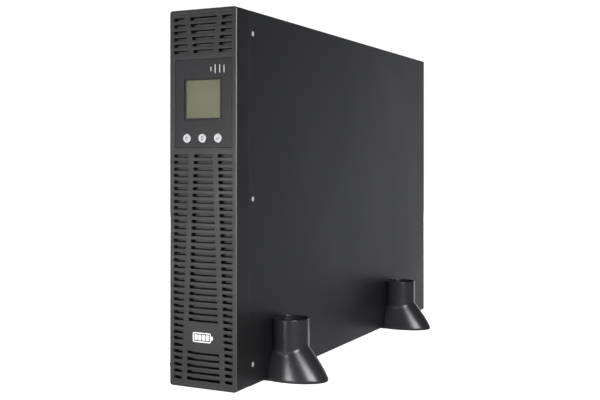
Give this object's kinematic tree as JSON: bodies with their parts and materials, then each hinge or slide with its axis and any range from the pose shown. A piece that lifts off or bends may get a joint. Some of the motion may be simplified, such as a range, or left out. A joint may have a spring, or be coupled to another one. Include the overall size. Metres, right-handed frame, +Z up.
{
  "type": "uninterruptible power supply",
  "caption": "Rack or tower uninterruptible power supply on tower feet, with a slotted bezel, square screen, three round buttons, a battery drawer and rear sockets.",
  "frame": {"origin": "on the floor under the middle of the whole object's box", "axes": "+X across the thickness to the cover side, -Y out of the front face, +Z up"},
  "size_m": [0.2202, 0.658, 0.4357],
  "materials": {
    "bezel_plastic": "fine textured black ABS",
    "panel_plastic": "smooth satin black ABS",
    "filter_foam": "dark grey open-cell filter foam",
    "clear_window": "clear acrylic",
    "screen_glass": "unlit olive grey liquid crystal panel",
    "button_plastic": "silver white moulded plastic",
    "light_guide": "milky light pipe",
    "case_paint": "satin black powder coat, fine orange peel",
    "zinc_steel": "zinc plated sheet",
    "screw_steel": "bright zinc plated screws",
    "circuit_board": "green solder mask",
    "heatsink_aluminium": "extruded aluminium",
    "battery_case": "dark grey ABS battery case",
    "copper": "copper",
    "connector_red": "red connector housing",
    "capacitor_sleeve": "dark blue sleeve",
    "ferrite": "ferrite core and tape",
    "component_black": "black epoxy and relay housings",
    "ribbon_grey": "grey ribbon cable",
    "socket_black": "black thermoplastic",
    "fan_black": "black glass-filled plastic",
    "brass_pin": "brass",
    "port_metal": "nickel plated shell",
    "terminal_green": "green terminal plug",
    "foot_plastic": "semi-gloss black moulded plastic"
  },
  "bodies": {
    "case": {"display_panel": "panel_plastic", "display_housing": "panel_plastic", "lcd_window": "clear_window", "lcd_module": "screen_glass", "display_board": "circuit_board", "status_light_pipes": "light_guide", "display_screws": "screw_steel", "chassis_tray": "case_paint", "side_cover": "case_paint", "cover_screws": "screw_steel", "inner_front_plate": "case_paint", "bay_divider": "zinc_steel", "rear_panel": "case_paint", "rear_panel_screws": "screw_steel", "battery_receptacle": "connector_red", "main_power_board": "circuit_board", "board_standoffs": "brass_pin", "heatsinks": "heatsink_aluminium", "bus_capacitors": "capacitor_sleeve", "inductors": "copper", "transformer": "ferrite", "power_transistors": "component_black", "relays": "component_black", "control_board": "circuit_board", "filter_board": "circuit_board", "display_ribbon": "ribbon_grey", "fan_frames": "fan_black", "fan_guards": "port_metal", "fan_screws": "screw_steel", "power_inlet": "socket_black", "inlet_pins": "brass_pin", "breaker_body": "socket_black", "output_sockets": "socket_black", "large_output_socket": "socket_black", "usb_port": "port_metal", "serial_port": "port_metal", "network_ports": "socket_black", "emergency_terminal": "terminal_green", "slot_cover": "case_paint", "slot_screws": "screw_steel", "ground_screw": "brass_pin", "front_right_foot": "foot_plastic", "front_left_foot": "foot_plastic", "rear_right_foot": "foot_plastic", "rear_left_foot": "foot_plastic"},
    "bezel": {"front_bezel": "bezel_plastic", "dust_filters": "filter_foam"},
    "battery_drawer": {"battery_tray": "zinc_steel", "battery_door": "case_paint", "battery_handle": "socket_black", "door_screws": "screw_steel", "batteries": "battery_case", "battery_links": "copper", "battery_plug": "connector_red"},
    "left_button": {"left_button": "button_plastic"},
    "middle_button": {"middle_button": "button_plastic"},
    "right_button": {"right_button": "button_plastic"},
    "upper_fan_rotor": {"upper_fan_rotor": "fan_black"},
    "lower_fan_rotor": {"lower_fan_rotor": "fan_black"},
    "breaker_button": {"breaker_button": "socket_black"}
  },
  "joints": [
    {"name": "battery_drawer_slide", "type": "slide", "parent": "case", "child": "battery_drawer", "axis": [0, -1, 0], "range_m": [0, 0.32]},
    {"name": "bezel_pull", "type": "slide", "parent": "case", "child": "bezel", "axis": [0, -1, 0], "range_m": [0, 0.39]},
    {"name": "left_button_press", "type": "slide", "parent": "case", "child": "left_button", "axis": [0, 1, 0], "range_m": [0, 0.0008], "stiffness_N_per_m": 600},
    {"name": "middle_button_press", "type": "slide", "parent": "case", "child": "middle_button", "axis": [0, 1, 0], "range_m": [0, 0.0008], "stiffness_N_per_m": 600},
    {"name": "right_button_press", "type": "slide", "parent": "case", "child": "right_button", "axis": [0, 1, 0], "range_m": [0, 0.0008], "stiffness_N_per_m": 600},
    {"name": "upper_fan_rotor_spin", "type": "hinge", "parent": "case", "child": "upper_fan_rotor", "pos_m": [0, 0.306, 0.389], "axis": [0, 1, 0], "continuous": true},
    {"name": "lower_fan_rotor_spin", "type": "hinge", "parent": "case", "child": "lower_fan_rotor", "pos_m": [0, 0.306, 0.303], "axis": [0, 1, 0], "continuous": true},
    {"name": "breaker_reset", "type": "slide", "parent": "case", "child": "breaker_button", "axis": [0, 1, 0], "range_m": [0, 0.003]}
  ],
  "couplings": [
    {"joint": "bezel_pull", "follows": "battery_drawer_slide", "ratio": 1.2}
  ]
}
